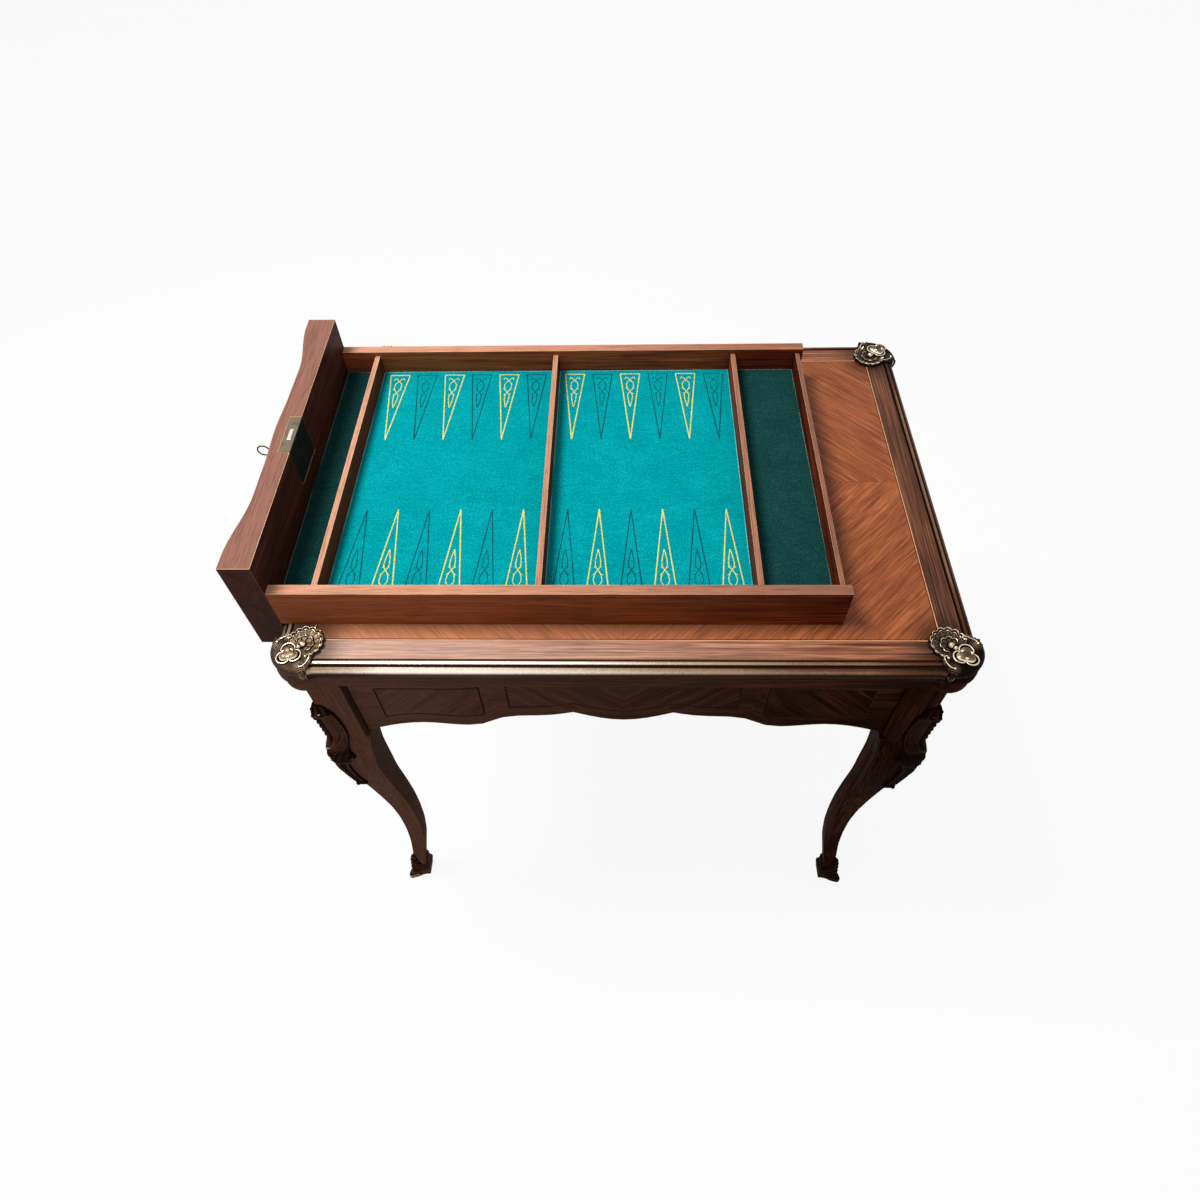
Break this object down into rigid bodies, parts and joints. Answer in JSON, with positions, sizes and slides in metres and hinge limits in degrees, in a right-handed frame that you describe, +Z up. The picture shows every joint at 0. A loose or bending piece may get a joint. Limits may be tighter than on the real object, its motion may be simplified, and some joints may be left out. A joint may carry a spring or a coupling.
{
  "type": "games table with a lift-out backgammon drawer",
  "caption": "Small side table on cabriole legs with a scalloped frieze and bronze mounts; its backgammon drawer is taken out and laid on the top.",
  "frame": {"origin": "on the floor, under the centre of the overall box, which is 26 mm towards the drawer's lock end from the centre of the table top", "axes": "+X along the table's length, away from the drawer front and its key; +Y from the near long side to the far one; +Z up"},
  "size_m": [0.877, 0.6036, 0.8646],
  "materials": {
    "dark_wood": "french polished kingwood",
    "carcase_wood": "bare oak",
    "drawer_wood": "waxed mahogany",
    "field_veneer": "polished veneer",
    "band_veneer": "polished veneer",
    "light_wood": "polished boxwood line",
    "brass": "aged and polished",
    "bronze": "cast, chased and gilt, dark in the hollows",
    "iron": "dark wrought iron",
    "lock_brass": "worn",
    "bright_felt": "teal wool felt with embroidered points",
    "dark_felt": "dark green wool felt"
  },
  "bodies": {
    "root": {"top_core": "carcase_wood", "top_field": "field_veneer", "top_stringing": "light_wood", "top_band_front": "band_veneer", "top_band_back": "band_veneer", "top_band_left": "band_veneer", "top_band_right": "band_veneer", "brass_edge_front": "brass", "brass_edge_back": "brass", "brass_edge_left": "brass", "brass_edge_right": "brass", "corner_mount_front_left": "bronze", "corner_mount_front_right": "bronze", "corner_mount_back_left": "bronze", "corner_mount_back_right": "bronze", "top_moulding_front": "dark_wood", "top_moulding_back": "dark_wood", "top_moulding_left": "dark_wood", "top_moulding_right": "dark_wood", "leg_front_left": "dark_wood", "leg_front_right": "dark_wood", "leg_back_left": "dark_wood", "leg_back_right": "dark_wood", "knee_mount_front_left": "bronze", "knee_mount_front_right": "bronze", "knee_mount_back_left": "bronze", "knee_mount_back_right": "bronze", "sabot_front_left": "bronze", "sabot_front_right": "bronze", "sabot_back_left": "bronze", "sabot_back_right": "bronze", "apron_front": "dark_wood", "apron_back": "dark_wood", "apron_right": "dark_wood", "upper_rail": "carcase_wood", "lower_rail": "carcase_wood", "runner_front": "carcase_wood", "runner_back": "carcase_wood", "guide_front": "carcase_wood", "guide_back": "carcase_wood", "kicker_front": "carcase_wood", "kicker_back": "carcase_wood", "drawer_stop_front": "carcase_wood", "drawer_stop_back": "carcase_wood"},
    "tray": {"drawer_front": "dark_wood", "drawer_side_front": "drawer_wood", "drawer_side_back": "drawer_wood", "drawer_end": "drawer_wood", "drawer_bottom": "drawer_wood", "divider_left": "drawer_wood", "divider_centre": "drawer_wood", "divider_right": "drawer_wood", "felt_left_tray": "dark_felt", "felt_left_board": "bright_felt", "felt_right_board": "bright_felt", "felt_right_tray": "dark_felt", "lock_case": "iron", "lock_plate": "iron"},
    "lock_bolt": {"lock_bolt": "lock_brass"},
    "key": {"key": "lock_brass"}
  },
  "joints": [
    {"name": "drawer_lift", "type": "slide", "parent": "root", "child": "tray", "axis": [0, 0, 1], "range_m": [0, 0.12]},
    {"name": "bolt_slide", "type": "slide", "parent": "tray", "child": "lock_bolt", "axis": [0, 0, 1], "range_m": [0, 0.007]},
    {"name": "key_turn", "type": "hinge", "parent": "tray", "child": "key", "pos_m": [-0.4045, -0.0176, 0.8376], "axis": [1, 0, 0], "range_deg": [0, 180]}
  ],
  "couplings": [
    {"joint": "key_turn", "follows": "bolt_slide", "rad_per_m": 448.8}
  ]
}
